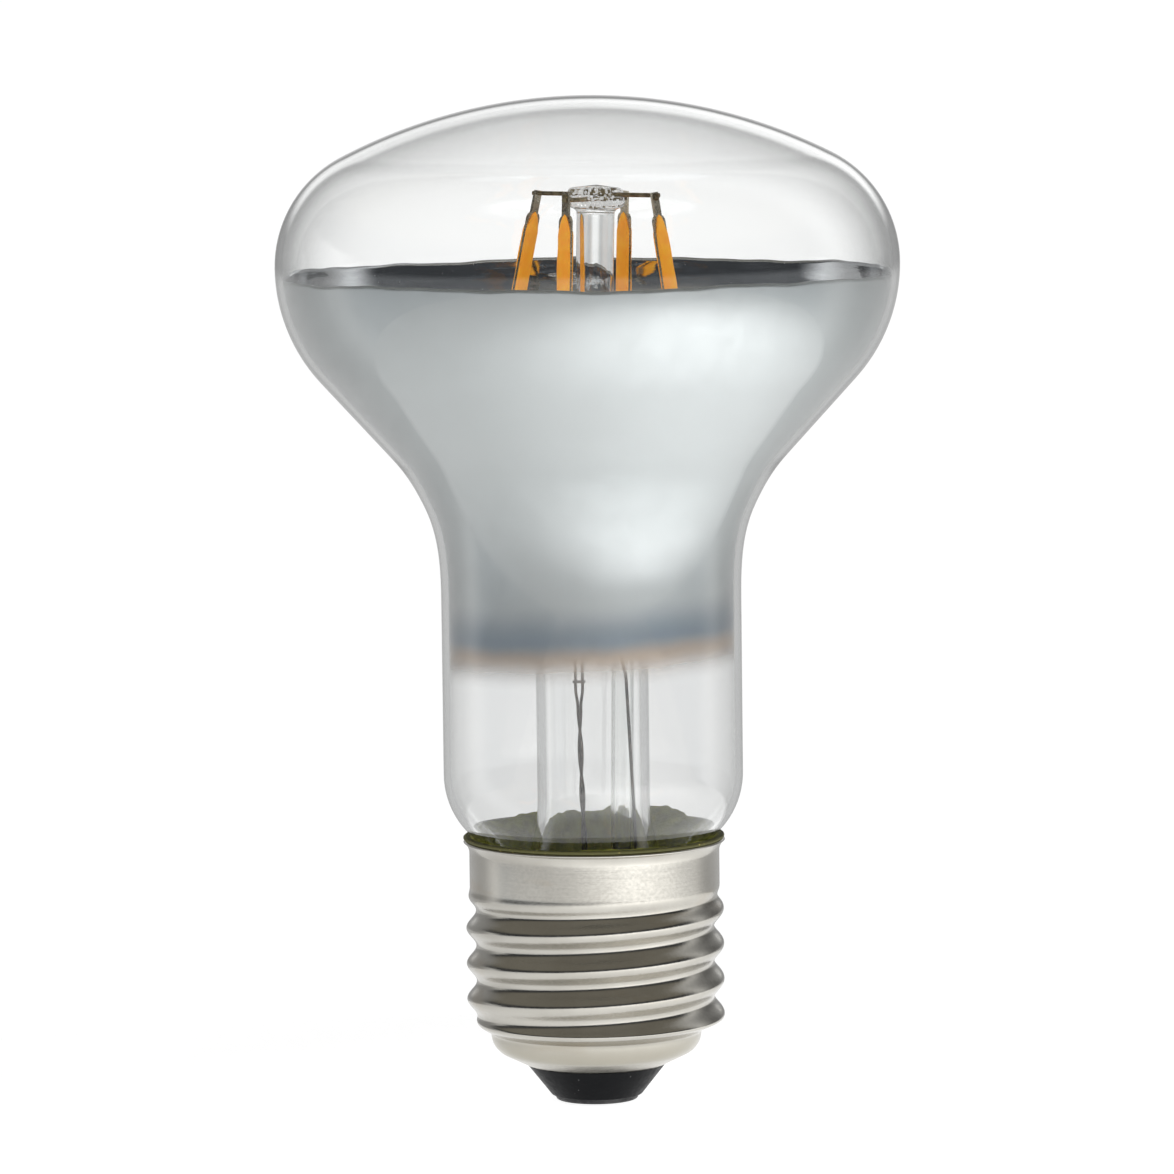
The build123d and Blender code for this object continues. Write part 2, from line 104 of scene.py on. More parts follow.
# Stem
stem_radius = 5.7 * mm
stem_wall = 0.9 * mm
flare_height = 7.0 * mm
flare_rim_land = 1.2 * mm
pinch_taper = 4.0 * mm
pinch_height = 2.5 * mm
pinch_width = 11.0 * mm
pinch_thickness = 4.4 * mm
pinch_bore_width = 7.6 * mm
pinch_bore_thickness = 1.6 * mm
pinch_roof = 1.5 * mm
pinch_squareness = 0.35
pinch_top_rounding = 0.12
pinch_roof_rounding = 0.5
mount_height = 38.2 * mm
mount_lean = math.radians(1.4)
pillar_radius = 1.9 * mm
button_radius = 2.9 * mm
button_height = 2.8 * mm
button_drop = 9.8 * mm
button_rounding = 0.55 * mm
button_lump = 0.03
button_lump_size = 0.5 * mm
bubble_count = 320
bubble_sizes = (0.04, 0.16)
bubble_seed = 7
exhaust_radius = 1.2 * mm
exhaust_wall = 0.4 * mm
exhaust_rows = 60
exhaust_steps = 64
pillar_steps = 72
flare_rows = 30
tube_rows = 20
pinch_rows = 14
stem_steps = 128
ball_rows = 9
ball_steps = 12

# Filaments
filament_count = 4
filament_length = 34.0 * mm
tab_length = 1.8 * mm
strip_width = 1.66 * mm
strip_thickness = 0.3 * mm
chip_height = 0.12 * mm
phosphor_thickness = 1.24 * mm
lobe_foot_share = 0.03
lobe_tip_share = 0.07
lobe_rows = 110
lobe_steps = 26
nub_radius = 0.42 * mm
nub_shape = (0.9, 0.75, 0.8)
nub_ripple = 0.12
nub_waves = (0.11 * mm, 0.09 * mm)

# Left lead: two strands, welded across and twisted
strand_radius = 0.15 * mm
strand_spread = 0.7 * mm
strand_top_x = -1.35 * mm
strand_low_x = -0.85 * mm
strand_weld_drop = 5.5 * mm
strand_join_run = 1.9 * mm
strand_twist_pitch = 9.0 * mm
strand_touch = 1.02
strand_rows = 260
weld_bar_rise = 0.75 * mm
weld_bar_overhang = 0.15 * mm

# Screw cap
sheet = 0.3 * mm
thread_pitch = 3.629 * mm
thread_major_radius = 13.1 * mm
thread_depth = 1.0 * mm
thread_bottom = 8.4 * mm
thread_top = 19.8 * mm
thread_crest_height = 19.5 * mm
collar_radius = 12.7 * mm
collar_bottom = 22.0 * mm
rim_start = 25.4 * mm
rim_flare_radius = 1.4 * mm
rim_flare_turn = math.radians(54)
cap_band_radius = 10.7 * mm
cap_band_height = 6.8 * mm
cap_shoulder_radius = 2.2 * mm
cap_bevel_turn = math.radians(64)
cap_opening_radius = 7.1 * mm
# The plate darkens towards the bottom of the cap, between these two heights, by this share.
cap_darkening_span = (8.2 * mm, 5.6 * mm)
cap_darkening = 0.5
thread_rows_outside = 150
thread_rows_inside = 60
cap_corner_rows = 18
cap_bevel_rows = 8
collar_rows = 10
rim_rows = 14
cap_steps = 300

# Cement, insulator and contact
cement_bottom = 23.4 * mm
cement_bead = 0.16 * mm
cement_skin = 0.17 * mm
cement_bite = 0.05 * mm
cement_bore_gap = 0.02 * mm
cement_shelf_wave = 0.05 * mm
smear_height = 1.0 * mm
smear_wave = 0.15 * mm
smear_half_angle = math.radians(60)
smear_full_angle = math.radians(24)
smear_turn = math.radians(7)
cement_wall_rows = 28
cement_smear_rows = 14
cement_shelf_rows = 7
cement_bead_rows = 9
cement_steps = 360
insulator_seat_radius = 4.6 * mm
insulator_dish_radius = 6.0 * mm
insulator_dish_floor = 4.4 * mm
insulator_floor_radius = 2.4 * mm
insulator_rounding = 0.12 * mm
insulator_steps = 128
contact_thickness = 0.5 * mm
shank_radius = 1.25 * mm

# Camera, fitted to the photograph's outline; the photograph is 1174 pixels wide
photo_width = 1174
camera_distance = 0.700
camera_height = 0.1220
camera_tilt = 0.0992
camera_roll = 0.0120
camera_yaw = 0.0006
camera_focal_pixels = 6950
sensor_width = 36
camera_clip = 0.01

# Studio: a floor with a pool of light, a lit backdrop between dimmer walls, and a bright ring above it.
# Spans run along X, Y or Z of a ray's way, or along its facing, the cosine of its angle off the view.
# The ring's angles off the view are in degrees.
floor_radius = 0.32
floor_centre = (0.04, -0.26)
floor_gap = 0.0002
floor_shades = (0.35, 0.37)
floor_cloud = 0.05
floor_glow = 0.62
floor_through = 0.42
floor_rows = 20
floor_steps = 96
pool_centre = (0.10, -0.12, 0.0)
pool_radius = 0.21
pool_light = 1.75
backdrop_rise = (-0.09, -0.04)
backdrop_top = (0.15, 0.04)
backdrop_facing = (0.0, 0.5)
backdrop_levels = (0.83, 1.20)
backdrop_seen = 1.02
low_sides = (0.40, 0.10)
high_sides = (0.20, 0.05)
dim_levels = (0.70, 0.58)
side_levels = (0.90, 0.68)
side_glow = 0.25
side_glow_span = (0.6, 0.9)
side_glow_facing = (0.55, 0.25)
edge_glow = 0.09
ring_angles = (15, 19, 26, 31)
ring_rise = (0.05, 0.20)
ring_turn = (-0.15, 0.15)
ring_light = 0.95
left_share = 0.75
behind_facing = (0.17, 0.64)
back_shares = (0.67, 0.58)
right_span = (0.4, 0.7)
right_loss = 0.30
room_depth = (0.30, 0.0)
room_rise = (-0.06, 0.04)
roof_rise = (0.35, 0.55)
room_low = (0.78, 0.81, 0.84)
room_high = (0.052, 0.054, 0.058)
room_roof = (0.26, 0.245, 0.21)
room_left_span = (0.1, -0.4)
room_left_rise = (0.15, 0.3)
room_left_reach = 0.42
again_share = 0.5
open_level = 1.15

# Values worked out from the frame and the sizes above
overall_length = cad_box[1].z
bulb_radius = cad_box[1].x
equator_height = overall_length - dome_height
crown_radius = (
    (bulb_radius - dome_shoulder_radius) ** 2 + dome_height**2 - dome_shoulder_radius**2
) / (2 * (dome_height - dome_shoulder_radius))
cone_top_radius = bulb_radius - reflector_shoulder_radius * (1 - math.cos(reflector_half_angle))
cone_top_height = equator_height - reflector_shoulder_radius * math.sin(reflector_half_angle)
cone_foot_radius = neck_radius + throat_radius * (1 - math.cos(reflector_half_angle))
cone_foot_height = cone_top_height - (cone_top_radius - cone_foot_radius) / math.tan(reflector_half_angle)
throat_height = cone_foot_height - throat_radius * math.sin(reflector_half_angle)
foot_end_radius = neck_radius - neck_foot_radius * (1 - math.cos(neck_foot_turn))
foot_end_height = neck_foot_height - neck_foot_radius * math.sin(neck_foot_turn)
seal_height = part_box("glass_envelope")[0].z
seal_radius = foot_end_radius - (foot_end_height - seal_height) * math.tan(neck_foot_turn)
film_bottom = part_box("mirror_coating")[0].z - film_veil
film_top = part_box("mirror_coating")[1].z
film_fade_start = -film_fade_rise / 3
button_centre = overall_length - button_drop
pinch_top = button_centre - mount_height
pinch_end = pinch_top - pinch_height
pinch_start = pinch_end - pinch_taper
strand_weld_height = pinch_start - strand_weld_drop
strand_join_height = strand_weld_height - strand_join_run
thread_offset = thread_depth / 2
thread_radius = thread_major_radius - thread_offset
rim_edge = (
    collar_radius + rim_flare_radius - (rim_flare_radius + sheet) * math.cos(rim_flare_turn),
    rim_start + (rim_flare_radius + sheet) * math.sin(rim_flare_turn),
)
insulator_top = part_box("insulator")[1].z
whole_turn = 2 * math.pi
ring_in, ring_full, ring_fade, ring_out = [math.cos(math.radians(angle)) for angle in ring_angles]


def arc(centre, radius, start, turn, count):
    """Points of an arc in radius and height."""
    angles = np.linspace(start, start + turn, count)
    return np.stack([centre[0] + radius * np.cos(angles), centre[1] + radius * np.sin(angles)], 1)


def line(start, end, count=2):
    share = np.linspace(0, 1, count)[:, None]
    return np.array(start) * (1 - share) + np.array(end) * share


def rounded(points, radius, count=6):
    """Outline with each inner corner rounded off."""
    made = [np.array([points[0]])]
    for before, corner, after in zip(points, points[1:], points[2:]):
        before, corner, after = np.array(before), np.array(corner), np.array(after)
        to_before = (before - corner) / np.linalg.norm(before - corner)
        to_after = (after - corner) / np.linalg.norm(after - corner)
        share = np.linspace(0, 1, count)[:, None]
        start, end = corner + to_before * radius, corner + to_after * radius
        made.append(start * (1 - share) ** 2 + corner * 2 * share * (1 - share) + end * share**2)
    made.append(np.array([points[-1]]))
    return np.vstack(made)


def smooth(value, start, end):
    """Smooth step of a value from start to end."""
    share = np.clip((value - start) / (end - start), 0, 1)
    return share * share * (3 - 2 * share)


def turns(steps):
    return np.arange(steps) * whole_turn / steps


def lathe(profile, steps):
    """Rows of points round the axis for an outline in radius and height."""
    return stacked(np.repeat(profile[:, 0:1], steps, 1), np.repeat(profile[:, 1:2], steps, 1))


def stacked(radius, height):
    """Rows of points from radius and height, both given by row and angle."""
    angle = turns(radius.shape[1])
    return np.stack([radius * np.cos(angle), radius * np.sin(angle), height], -1)


def grid_faces(rows, steps, closed, first):
    """Quads over rows of points that are closed round each row, and from last row to first if wanted."""
    row = np.arange(rows if closed else rows - 1)[:, None]
    step = np.arange(steps)[None, :]
    here = first + row * steps
    above = first + (row + 1) % rows * steps
    beside = (step + 1) % steps
    return np.stack([here + step, here + beside, above + beside, above + step], -1).reshape(-1, 4)


def piece(name, grids, finish, slot, *nodes, closed=True):
    """Smooth mesh from rows of points; it rides the part and stands for the named nodes."""
    points = np.vstack([grid.reshape(-1, 3) for grid in grids])
    faces = []
    first = 0
    for grid in grids:
        faces.append(grid_faces(grid.shape[0], grid.shape[1], closed, first))
        first += grid.shape[0] * grid.shape[1]
    mesh = bpy.data.meshes.new(name)
    mesh.from_pydata(points.tolist(), [], np.vstack(faces).tolist())
    merge_poles(mesh)
    mesh.shade_smooth()
    made = bpy.data.objects.new(name, mesh)
    bpy.context.scene.collection.objects.link(made)
    mesh.materials.append(finish)
    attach(made, "root")
    if nodes:
        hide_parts(*nodes)
    return made


def merge_poles(mesh):
    """Joins the points that fall together where rows shrink to the axis."""
    work = bmesh.new()
    work.from_mesh(mesh)
    bmesh.ops.remove_doubles(work, verts=work.verts, dist=merge_distance)
    loose = [edge for edge in work.edges if not edge.link_faces]
    bmesh.ops.delete(work, geom=loose, context="EDGES")
    work.to_mesh(mesh)
    work.free()


def wall_radius(height, inset=0.0):
    """Envelope radius at a height below the equator, inset from the outer face."""
    lean_r = -inset * math.cos(reflector_half_angle)
    lean_z = inset * math.sin(reflector_half_angle)
    foot_z = foot_end_height + inset * math.sin(neck_foot_turn)
    foot_r = foot_end_radius - inset * math.cos(neck_foot_turn)

    def chord(radius, rise):
        return np.sqrt(np.maximum(radius**2 - rise**2, 0))

    shoulder = chord(reflector_shoulder_radius - inset, equator_height - height)
    throat = chord(throat_radius + inset, height - throat_height)
    foot = chord(neck_foot_radius - inset, neck_foot_height - height)
    slope = math.tan(reflector_half_angle)
    return np.select(
        [
            height >= cone_top_height + lean_z,
            height >= cone_foot_height + lean_z,
            height >= throat_height,
            height >= neck_foot_height,
            height >= foot_z,
        ],
        [
            bulb_radius - reflector_shoulder_radius + shoulder,
            cone_foot_radius + lean_r + (height - cone_foot_height - lean_z) * slope,
            neck_radius + throat_radius - throat,
            np.full_like(height, neck_radius - inset),
            neck_radius - neck_foot_radius + foot,
        ],
        foot_r - (foot_z - height) * math.tan(neck_foot_turn),
    )


def eased_wall(height, inset):
    """Envelope radius with the bend from cone to neck eased, as blown glass flows."""
    reach = throat_ease * smooth(np.abs(height - throat_height), *throat_ease_span)
    near = np.linspace(-1, 1, throat_ease_samples)
    return sum(wall_radius(height + reach * share, inset) for share in near) / len(near)


def dome_points(inset):
    """Shoulder and crown of the dome, from the equator to the axis."""
    lean = math.atan2(crown_radius - dome_height, bulb_radius - dome_shoulder_radius)
    centre = (bulb_radius - dome_shoulder_radius, equator_height)
    shoulder = arc(centre, dome_shoulder_radius - inset, 0, lean, dome_rows // 2)
    crown = arc((0, overall_length - crown_radius), crown_radius - inset, lean, math.pi / 2 - lean, dome_rows)
    return np.vstack([shoulder, crown[1:]])


def blown(points):
    """Slight unevenness of blown glass, always inwards."""
    angle = np.arctan2(points[..., 1], points[..., 0])
    height = points[..., 2] / overall_length
    wave = np.sin(2 * angle + 5 * height) + np.sin(3 * angle - 11 * height + 1.3)
    wave += np.sin(5 * angle + 23 * height + 0.4)
    shrink = 1 - blown_share * (1 + wave / 3) / 2
    return points * np.stack([shrink, shrink, np.ones_like(shrink)], -1)


def envelope_outline(inset):
    height = np.linspace(seal_height, equator_height, envelope_rows)
    wall = np.stack([eased_wall(height, inset), height], 1)
    return np.vstack([wall, dome_points(inset)[1:]])


def glass_envelope(finish):
    outline = np.vstack([envelope_outline(0), envelope_outline(glass_wall)[::-1]])
    points = blown(lathe(outline, envelope_steps))
    return piece("envelope", [points], finish, "clear_glass", "glass_envelope")


def film_rows_of(inset):
    """Rows of the film's face, from its faded foot to its uneven upper edge."""
    angle = turns(film_steps)[None, :]
    wave = sum(np.sin(count * angle + count**2) / (1 + index) for index, count in enumerate((5, 11, 19, 37)))
    top = film_top + film_edge_wave * (wave - 1) / 2
    share = np.linspace(0, 1, film_rows)[:, None]
    height = film_bottom + (top - film_bottom) * share
    return blown(stacked(eased_wall(height, inset), height))


def mirror_film(outside, inside):
    """Thin film inside the glass, with one look towards the glass and another on its bare face."""
    outer = film_rows_of(glass_wall + film_gap)
    inner = film_rows_of(glass_wall + film_gap + film_thickness)
    made = piece("mirror_film", [np.vstack([outer, inner[::-1]])], outside, "mirror_film", "mirror_coating")
    made.data.materials.append(inside)
    for face in made.data.polygons:
        face.material_index = int(face.normal.xy.dot(face.center.xy) < 0)
    return made


def mounted(points):
    """Leans what stands above the pinch as the mount leans."""
    foot = Matrix.Translation((0, 0, pinch_top))
    lean = np.array(foot @ Matrix.Rotation(mount_lean, 4, "Y") @ foot.inverted())
    return points @ lean[:3, :3].T + lean[:3, 3]


def oblong(width, depth, height):
    """Row of points round an outline that is flattened from a circle to a slot."""
    angle = turns(stem_steps)
    power = 1 - pinch_squareness * (1 - depth / width)
    x = np.sign(np.cos(angle)) * np.abs(np.cos(angle)) ** power * width / 2
    y = np.sign(np.sin(angle)) * np.abs(np.sin(angle)) ** power * depth / 2
    return np.stack([x, y, np.full_like(x, height)], -1)


def stem_rows(offset, roof_width, roof_depth, roof):
    """Rows of the flared tube up to its flattened top, offset inwards."""
    flare_radius = seal_radius - flare_rim_land
    centre = (flare_radius, seal_height + flare_height)
    reach = flare_radius - stem_radius + offset
    angles = np.linspace(-math.pi / 2, -math.pi, flare_rows)
    flare = np.stack([
        centre[0] + reach * np.cos(angles), centre[1] + (flare_height + offset) * np.sin(angles)
    ], 1)
    tube = line((stem_radius - offset, centre[1]), (stem_radius - offset, pinch_start), tube_rows)
    rows = [lathe(np.vstack([[[seal_radius, seal_height - offset]], flare, tube[1:]]), stem_steps)]
    round_size = 2 * (stem_radius - offset)
    for share in np.linspace(0, 1, pinch_rows)[1:]:
        ease = smooth(share, 0, 1)
        width = round_size + (roof_width - round_size) * ease
        depth = round_size + (roof_depth - round_size) * ease
        rows.append(oblong(width, depth, pinch_start + (roof - pinch_start) * share)[None])
    return np.vstack(rows)


def closed_top(row, height, rounding, count=8):
    """Rows that round a row over and close it at the axis."""
    made = []
    for share in np.linspace(0, 1, count)[1:]:
        ring = row.copy()
        ring[:, :2] *= 1 - rounding * (1 - math.cos(share * math.pi / 2))
        ring[:, 2] = row[:, 2] + (height - row[:, 2]) * math.sin(share * math.pi / 2)
        made.append(ring)
    middle = row * np.array([0, 0, 1.0])
    middle[:, 2] = height
    return np.array([*made, middle])


def stem_flare(finish):
    """Glass tube with a trumpet foot, pinched flat and closed at its top."""
    outer = stem_rows(0, pinch_width, pinch_thickness, pinch_end)
    slab = oblong(pinch_width, pinch_thickness, pinch_top - pinch_height / 3)
    top = closed_top(slab, pinch_top, pinch_top_rounding)
    inner = stem_rows(stem_wall, pinch_bore_width, pinch_bore_thickness, pinch_end - 2 * pinch_roof)
    roof = closed_top(inner[-1], pinch_end - pinch_roof, pinch_roof_rounding)
    rows = np.vstack([outer, slab[None], top, roof[::-1], inner[::-1]])
    return piece("stem", [rows], finish, "clear_glass", "stem_flare")


def ball(centre, radius, inward=False):
    """Rows of a small ball; an inward one is a bubble in glass."""
    polar = np.linspace(-math.pi / 2, math.pi / 2, ball_rows)
    outline = np.stack([np.abs(radius * np.cos(polar)), radius * np.sin(polar)], 1)
    rows = lathe(outline[::-1] if inward else outline, ball_steps)
    return rows + np.array(centre)


def stem_pillar(finish, bubble_finish):
    """Rod with a melted, lumpy button that is full of small bubbles."""
    half = button_height / 2
    outline = rounded(
        [
            (0, pinch_top),
            (pillar_radius, pinch_top),
            (pillar_radius, button_centre - half),
            (button_radius, button_centre - half * 0.8),
            (button_radius * 0.96, button_centre + half * 0.7),
            (0, button_centre + half),
        ],
        button_rounding,
        12,
    )
    rod = lathe(outline, pillar_steps)
    angle = np.arctan2(rod[..., 1], rod[..., 0])
    lump = np.sin(3 * angle + 1) * np.sin(rod[..., 2] / button_lump_size) + np.sin(7 * angle) * 0.5
    melted = smooth(rod[..., 2], button_centre - 1.2 * half, button_centre - half / 2)
    swell = 1 + button_lump * lump * melted
    rod[..., :2] *= swell[..., None]
    random = np.random.default_rng(bubble_seed)
    grids = [mounted(rod)]
    rod_faces = (rod.shape[0] - 1) * rod.shape[1]
    for _ in range(bubble_count):
        radius = random.uniform(*bubble_sizes) * mm
        reach = (button_radius * 0.9 - radius) * math.sqrt(random.uniform(0.05, 1))
        turn = random.uniform(0, whole_turn)
        rise = random.uniform(-0.62, 0.62) * half
        centre = (reach * math.cos(turn), reach * math.sin(turn), button_centre + rise)
        grids.append(mounted(ball(centre, radius, inward=True)))
    made = piece("pillar", grids, finish, "clear_glass", "stem_pillar", closed=False)
    made.data.materials.append(bubble_finish)
    for face in made.data.polygons[rod_faces:]:
        face.material_index = 1
    return made


def along(points, start, end):
    """Moves rows drawn about the Z axis to stand from one point towards another."""
    way = (Vector(end) - Vector(start)).normalized()
    turn = np.array(Vector((0, 0, 1)).rotation_difference(way).to_matrix())
    return points @ turn.T + np.array(start)


def exhaust_tube(finish):
    """Thin tube under the pinch with a round sealed tip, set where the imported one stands."""
    low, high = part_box("exhaust_tube")
    tip = Vector((low.x + exhaust_radius, (low.y + high.y) / 2, low.z + exhaust_radius))
    top = Vector((high.x - exhaust_radius, tip.y, high.z))
    length = (top - tip).length
    bore = exhaust_radius - exhaust_wall
    outside = arc((0, 0), exhaust_radius, -math.pi / 2, math.pi / 2, 12)
    outside = np.vstack([outside, line((exhaust_radius, 0), (exhaust_radius, length), exhaust_rows)[1:]])
    inside = line((bore, length), (bore, 0), exhaust_rows)
    inside = np.vstack([inside, arc((0, 0), bore, 0, -math.pi / 2, 12)[1:]])
    rows = along(lathe(np.vstack([outside, inside]), exhaust_steps), tip, top)
    return piece("exhaust_glass", [rows], finish, "clear_glass", "exhaust_tube", closed=False)


def filament_frame(number):
    """Middle, length, width and outward directions of a filament, from its row of chips."""
    mesh = frame["nodes"][f"filament_chips_{number}"].data
    points = np.array([vertex.co[:] for vertex in mesh.vertices])
    middle = points.mean(0)
    axes = np.linalg.eigh(np.cov((points - middle).T))[1]
    up = axes[:, 2] * np.sign(axes[2, 2])
    out = axes[:, 0] * np.sign(axes[:, 0] @ (middle * np.array([1, 1, 0])))
    across = np.cross(up, out)
    return middle - out * (strip_thickness + chip_height) / 2, up, across, out


def lobe(number, side):
    """Gel on one face of a strip: a half oval that comes to a point at the top."""
    middle, up, across, out = filament_frame(number)
    length = filament_length - 2 * tab_length
    share = np.linspace(0, 1, lobe_rows)[:, None]
    run = (share - 0.5) * length
    foot = np.sqrt(np.clip(share / lobe_foot_share, 0, 1))
    taper = foot * np.clip((1 - share) / lobe_tip_share, 0, 1) ** 0.6
    wave = 0.05 * np.sin(run / (1.7 * mm) + number * 2 + side)
    ripple = 0.03 * np.sin(run / (0.6 * mm) + number)
    uneven = 1 + wave + ripple
    angle = np.linspace(0, math.pi, lobe_steps - 6)
    flat = np.linspace(-1, 1, 8)[1:-1]
    x = np.concatenate([np.cos(angle), flat])
    y = np.concatenate([np.sin(angle), np.zeros(6)])
    width = strip_width / 2 * taper * (uneven if side > 0 else 1)
    height = (phosphor_thickness - strip_thickness) / 2 * np.sqrt(taper) * uneven
    if side < 0:
        x = -x
    lift = strip_thickness / 2 + height * y
    rows = middle + run[..., None] * up + (width * x)[..., None] * across + side * lift[..., None] * out
    return rows[::-1]


def filament_phosphor(number, finish):
    grids = [lobe(number, 1), lobe(number, -1)]
    name = f"phosphor_{number}"
    return piece(name, grids, finish, "phosphor", f"filament_phosphor_{number}", closed=False)


def weld_nubs(finish):
    """Flattened beads of weld where the tabs meet the wires."""
    grids = []
    for number in range(1, filament_count + 1):
        middle, up, across, out = filament_frame(number)
        for end in (-1, 1):
            bead = ball((0, 0, 0), nub_radius)
            ripple = np.sin(bead[..., 0] / nub_waves[0] + number) * np.sin(bead[..., 2] / nub_waves[1])
            bead = bead * (1 + nub_ripple * ripple)[..., None] * np.array(nub_shape)
            place = middle + up * end * filament_length / 2 + out * strip_thickness / 2
            grids.append(bead[::-1] @ np.array([across, out, up]) + place)
    return piece("weld_nubs", grids, finish, "wire", closed=False)


def upright_tube(centres, radius, steps=16):
    """Tube along a path that runs mostly up, with closed ends."""
    angle = turns(steps)
    ring = np.stack([np.cos(angle), np.sin(angle), np.zeros(steps)], 1)
    centres = np.vstack([centres[:1], centres, centres[-1:]])
    radii = np.concatenate([[0], np.full(len(centres) - 2, radius), [0]])
    return centres[:, None, :] + radii[:, None, None] * ring[None]


def twisted_lead(finish):
    """Two strands, apart in the pinch and then wound round each other down to the board."""
    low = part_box("outer_lead_left")[0].z
    height = np.linspace(low, pinch_end, strand_rows)
    apart = smooth(height, strand_join_height, strand_weld_height)
    turn = whole_turn * (strand_join_height - height) / strand_twist_pitch * (1 - apart)
    middle = strand_low_x + (strand_top_x - strand_low_x) * smooth(height, low, strand_weld_height)
    reach = strand_radius * strand_touch + (strand_spread / 2 - strand_radius) * apart
    grids = []
    for side in (-1, 1):
        x = middle + side * reach * np.cos(turn)
        y = side * reach * np.sin(turn)
        grids.append(upright_tube(np.stack([x, y, height], 1), strand_radius))
    bar_height = strand_weld_height + weld_bar_rise
    half = strand_spread / 2 + strand_radius + weld_bar_overhang
    bar = upright_tube(np.array([[0, 0, -half], [0, 0, 0], [0, 0, half]]), strand_radius)
    grids.append(bar[..., [2, 1, 0]] * np.array([1, -1, 1]) + np.array([strand_top_x, 0, bar_height]))
    return piece("twisted_lead", grids, finish, "oxidised_wire", "outer_lead_left", closed=False)


def thread_reach(angle, height, inset):
    """Radius of the rolled thread at an angle and height, with its two run-outs."""
    low = smooth(height, cap_band_height, thread_bottom)
    high = smooth(height, collar_bottom, thread_top)
    radius = thread_radius - inset
    radius = radius + (cap_band_radius - thread_radius) * (1 - low)
    radius = radius + (collar_radius - thread_radius) * (1 - high)
    offset = thread_offset * low * high
    phase = angle - whole_turn * (height - thread_crest_height) / thread_pitch
    return offset * np.cos(phase) + np.sqrt(radius**2 - (offset * np.sin(phase)) ** 2)


def shell_rows(inset, thread_rows):
    """Rows of the shell's sheet from its opening up to the flared rim."""
    centre = (cap_band_radius - cap_shoulder_radius, cap_band_height)
    radius = cap_shoulder_radius - inset
    corner = arc(centre, radius, -cap_bevel_turn, cap_bevel_turn, cap_corner_rows)
    normal = (math.cos(cap_bevel_turn), -math.sin(cap_bevel_turn))
    run = (centre[0] + cap_shoulder_radius * normal[0] - cap_opening_radius) / math.sin(cap_bevel_turn)
    opening = corner[0] - run * np.array([math.sin(cap_bevel_turn), math.cos(cap_bevel_turn)])
    bevel = line(opening, corner[0], cap_bevel_rows)
    bottom = lathe(np.vstack([bevel[:-1], corner[:-1]]), cap_steps)
    height = np.linspace(cap_band_height, collar_bottom, thread_rows)[:, None]
    height = np.repeat(height, cap_steps, 1)
    thread = stacked(thread_reach(turns(cap_steps)[None, :], height, inset), height)
    wall = line((collar_radius - inset, collar_bottom), (collar_radius - inset, rim_start), collar_rows)
    flare_centre = (collar_radius + rim_flare_radius, rim_start)
    flare = arc(flare_centre, rim_flare_radius + inset, math.pi, -rim_flare_turn, rim_rows)
    top = lathe(np.vstack([wall[1:], flare[1:]]), cap_steps)
    return np.vstack([bottom, thread, top])


def screw_shell(finish):
    """Rolled sheet with its two faces joined at the opening and at the rim."""
    rows = np.vstack([shell_rows(0, thread_rows_outside), shell_rows(sheet, thread_rows_inside)[::-1]])
    return piece("shell_sheet", [rows], finish, "nickel_shell", "screw_shell")


def cement_ring(finish):
    """Cement between glass and collar, with a bead on the rim and an uneven smear up the glass behind."""
    angle = turns(cement_steps)
    rim_radius, rim_height = rim_edge
    shelf = rim_height + 2 * cement_bead
    ripple = sum(np.sin(count * angle + count * 1.7) / (1 + count / 9) for count in (3, 7, 13, 29, 53))
    ripple = ripple / np.abs(ripple).max()
    behind = np.abs((angle - math.pi / 2 + smear_turn + math.pi) % whole_turn - math.pi)
    smear = smooth(behind, smear_half_angle, smear_full_angle) * smear_height
    top = shelf + smear * (0.8 + 0.25 * ripple) + smear_wave * ripple
    rows = []
    for share in np.linspace(0, 1, cement_wall_rows):
        height = cement_bottom + (top - cement_bottom) * share
        rows.append((wall_radius(height, cement_bite), height))
    for share in np.linspace(0, 1, cement_smear_rows)[1:]:
        height = top + (shelf - top) * share
        rows.append((wall_radius(height, cement_bite - cement_skin * math.sqrt(share)), height))
    shelf_radius, shelf_height = rows[-1]
    for share in np.linspace(0, 1, cement_shelf_rows)[1:]:
        radius = shelf_radius + (rim_radius - shelf_radius) * share
        rows.append((radius, shelf_height + cement_shelf_wave * ripple * share))
    bulge = cement_bead * (1 + 0.25 * ripple)
    for turn in np.linspace(math.pi / 2, -math.pi / 2, cement_bead_rows)[1:]:
        rows.append((rim_radius + bulge * math.cos(turn), rim_height + cement_bead * (1 + math.sin(turn))))
    bore = collar_radius - sheet - cement_bore_gap
    rows.append((bore, rim_start))
    rows.append((bore, cement_bottom))
    radius = np.array([row[0] + 0 * angle for row in rows])
    height = np.array([row[1] + 0 * angle for row in rows])
    grid = stacked(radius[::-1], height[::-1])
    return piece("cement", [grid], finish, "cement", "cement_ring")


def insulator(finish):
    """Black glass button with softened edges, seated in the shell's opening."""
    opening = shell_rows(0, 2)[0, 0]
    inner = shell_rows(sheet, 2)[0, 0]
    flange = shell_rows(sheet, 2)[cap_bevel_rows - 1, 0]
    outline = rounded(
        [
            (shank_radius, contact_thickness),
            (insulator_seat_radius, contact_thickness),
            (opening[0], opening[2]),
            (inner[0], inner[2]),
            (flange[0], flange[2]),
            (flange[0], insulator_top),
            (insulator_dish_radius, insulator_top),
            (insulator_floor_radius, insulator_dish_floor),
            (shank_radius, insulator_dish_floor),
        ],
        insulator_rounding,
    )
    return piece("insulator_button", [lathe(outline, insulator_steps)], finish, "insulator", "insulator")


